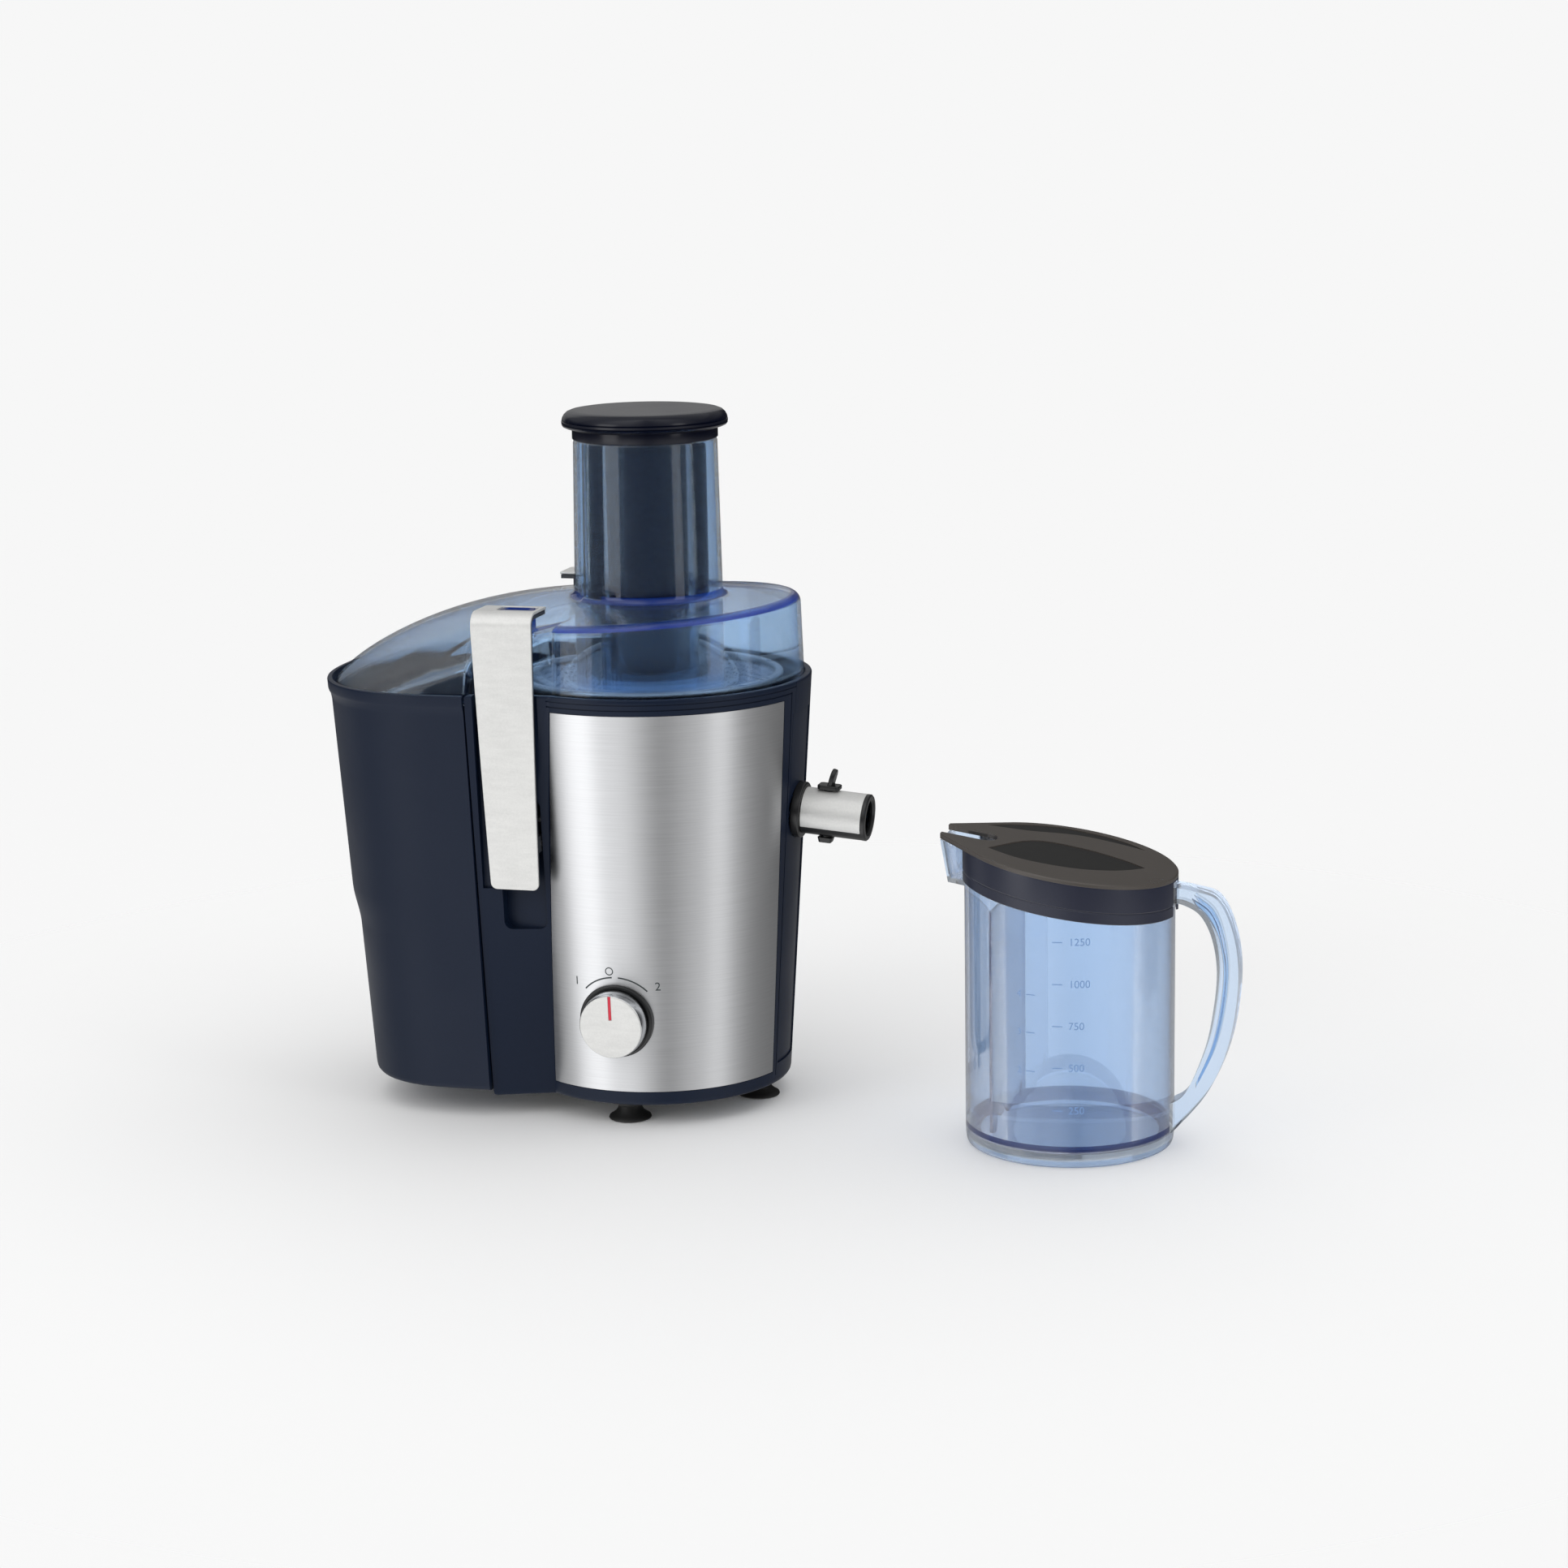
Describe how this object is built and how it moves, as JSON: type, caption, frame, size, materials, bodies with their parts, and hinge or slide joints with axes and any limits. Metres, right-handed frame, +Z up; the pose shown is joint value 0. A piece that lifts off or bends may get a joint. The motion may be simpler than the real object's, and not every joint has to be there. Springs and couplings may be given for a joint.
{
  "type": "centrifugal juicer",
  "caption": "Centrifugal juicer with steel-fronted motor base, clear lid and feed chute, clamps, pulp container, drip spout and separate juice jug.",
  "frame": {"origin": "middle of the bounding box of the whole set, on the surface it stands on", "axes": "+Z up, +X from the pulp container through the basket towards the spout and the jug, -Y towards the knob and steel front"},
  "size_m": [0.5822, 0.2168, 0.4345],
  "materials": {
    "navy_plastic": "satin moulded ABS, navy",
    "black_plastic": "black moulded plastic",
    "dark_grey_plastic": "dark grey moulded plastic",
    "clear_blue": null,
    "brushed_steel": "horizontally brushed stainless steel",
    "silver_paint": "fine silver paint on plastic",
    "black_rubber": "black rubber",
    "bare_steel": "bare stainless steel",
    "copper": null,
    "laminated_steel": "laminated and pressed motor steel",
    "warm_grey_plastic": "warm dark grey plastic",
    "red_paint": "red inlay"
  },
  "bodies": {
    "base": {"base_housing": "navy_plastic", "spout_apron": "navy_plastic", "base_plate": "black_plastic", "suction_foot_spout_side": "black_rubber", "suction_foot_rear": "black_rubber", "suction_foot_container_side": "black_rubber", "suction_foot_front": "black_rubber", "front_panel": "brushed_steel", "cord_gland": "black_rubber", "juice_bowl": "clear_blue", "spout_collar": "black_plastic", "spout_shroud": "black_plastic", "spout_sleeve": "silver_paint", "lower_motor_bracket": "laminated_steel", "upper_motor_bracket": "laminated_steel", "lower_bearing": "bare_steel", "upper_bearing": "bare_steel", "stator_core": "laminated_steel", "field_coil_a": "copper", "field_coil_b": "copper", "brush_holder_a": "black_plastic", "brush_holder_b": "black_plastic", "rubber_damper_1": "black_rubber", "rubber_damper_2": "black_rubber", "rubber_damper_3": "black_rubber", "rubber_damper_4": "black_rubber", "shaft_seal": "black_rubber", "interlock_switch": "dark_grey_plastic", "knob_bezel": "black_plastic", "rotary_switch": "dark_grey_plastic", "lid": "clear_blue", "link_pin_rear": "bare_steel", "link_pin_front": "bare_steel"},
    "pusher": {"pusher_body": "navy_plastic", "pusher_cap": "navy_plastic"},
    "rotor": {"basket_floor": "dark_grey_plastic", "sieve_screen": "bare_steel", "basket_rim": "dark_grey_plastic", "grater_disc": "bare_steel", "motor_shaft": "bare_steel", "drive_coupling": "black_plastic", "armature": "laminated_steel", "commutator": "copper", "cooling_fan": "dark_grey_plastic"},
    "knob": {"speed_knob": "silver_paint", "knob_pointer": "red_paint"},
    "drip_lever": {"drip_valve": "black_plastic"},
    "pulp_bin": {"pulp_container": "navy_plastic"},
    "jug": {"jug": "clear_blue", "foam_separator": "clear_blue"},
    "jug_cover": {"jug_lid": "warm_grey_plastic"},
    "link_front": {"clamp_link_front": "bare_steel"},
    "clamp_front": {"clamp_skin_front": "silver_paint", "clamp_liner_front": "dark_grey_plastic", "clamp_pin_front": "bare_steel"},
    "link_rear": {"clamp_link_rear": "bare_steel"},
    "clamp_rear": {"clamp_skin_rear": "silver_paint", "clamp_liner_rear": "dark_grey_plastic", "clamp_pin_rear": "bare_steel"}
  },
  "joints": [
    {"name": "pusher_slide", "type": "slide", "parent": "base", "child": "pusher", "axis": [0, 0, 1], "range_m": [0, 0.165]},
    {"name": "rotor_spin", "type": "hinge", "parent": "base", "child": "rotor", "pos_m": [-0.08644, 0.00524, 0.15], "axis": [0, 0, 1], "continuous": true},
    {"name": "knob_turn", "type": "hinge", "parent": "base", "child": "knob", "pos_m": [-0.08644, -0.08185, 0.068], "axis": [0, -0.9978, -0.0669], "range_deg": [-45, 45]},
    {"name": "drip_lever_turn", "type": "hinge", "parent": "base", "child": "drip_lever", "pos_m": [0.02649, 0.00524, 0.18446], "axis": [0.0854, 0, 0.9963], "range_deg": [0, 90]},
    {"name": "pulp_bin_slide", "type": "slide", "parent": "base", "child": "pulp_bin", "axis": [-1, 0, 0], "range_m": [0, 0.125]},
    {"name": "link_front_swing", "type": "hinge", "parent": "base", "child": "link_front", "pos_m": [-0.14444, -0.07876, 0.192], "axis": [-1, 0, 0], "range_deg": [0, 95]},
    {"name": "clamp_front_tilt", "type": "hinge", "parent": "link_front", "child": "clamp_front", "pos_m": [-0.14444, -0.07876, 0.177], "axis": [1, 0, 0], "range_deg": [0, 110]},
    {"name": "link_rear_swing", "type": "hinge", "parent": "base", "child": "link_rear", "pos_m": [-0.14444, 0.08924, 0.192], "axis": [1, 0, 0], "range_deg": [0, 95]},
    {"name": "clamp_rear_tilt", "type": "hinge", "parent": "link_rear", "child": "clamp_rear", "pos_m": [-0.14444, 0.08924, 0.177], "axis": [-1, 0, 0], "range_deg": [0, 110]},
    {"name": "jug_lift", "type": "slide", "parent": "base", "child": "jug", "axis": [0, 0, 1], "range_m": [0, 0.1]},
    {"name": "jug_cover_lift", "type": "slide", "parent": "jug", "child": "jug_cover", "axis": [0, 0, 1], "range_m": [0, 0.05]}
  ],
  "couplings": [
    {"joint": "clamp_front_tilt", "follows": "link_front_swing", "ratio": 1.13},
    {"joint": "clamp_rear_tilt", "follows": "link_rear_swing", "ratio": 1.13}
  ]
}
